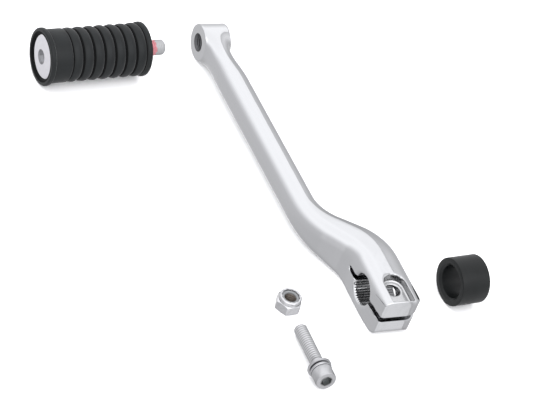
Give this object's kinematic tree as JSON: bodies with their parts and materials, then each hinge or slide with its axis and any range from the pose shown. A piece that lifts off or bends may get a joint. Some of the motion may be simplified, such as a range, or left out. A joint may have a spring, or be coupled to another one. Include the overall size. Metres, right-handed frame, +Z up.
{
  "type": "heel toe shift lever",
  "caption": "Chromed forged foot shift lever with a serrated split clamp, laid out with its ribbed rubber peg, shaft spacer, pinch screw, washers and locking nut.",
  "frame": {"origin": "centre of the serrated clamp bore, halfway across the clamp", "axes": "+X along the shift shaft towards the spacer, +Y from the clamp towards the peg boss, +Z up off the bench"},
  "size_m": [0.1742, 0.2356, 0.0288],
  "materials": {
    "chromed_forging": "polished chrome plate",
    "peg_rubber": "moulded, satin",
    "plated_steel": "clear zinc plate",
    "peg_screw_steel": "machined and zinc plated, red locking compound on the thread",
    "spacer_plastic": "moulded, satin",
    "nylon": "moulded"
  },
  "bodies": {
    "kit": {"lever_arm": "chromed_forging", "peg_rubber": "peg_rubber", "peg_sleeve": "plated_steel", "shaft_spacer": "spacer_plastic", "pinch_screw": "plated_steel", "split_washer": "plated_steel", "flat_washer": "plated_steel", "lock_nut": "plated_steel", "nylon_ring": "nylon"},
    "peg_pin": {"peg_screw": "peg_screw_steel"}
  },
  "joints": [
    {"name": "peg_turn", "type": "hinge", "parent": "kit", "child": "peg_pin", "pos_m": [-0.09285, 0.1665, 0.0029], "axis": [0.9968, 0.0802, 0], "continuous": true}
  ]
}
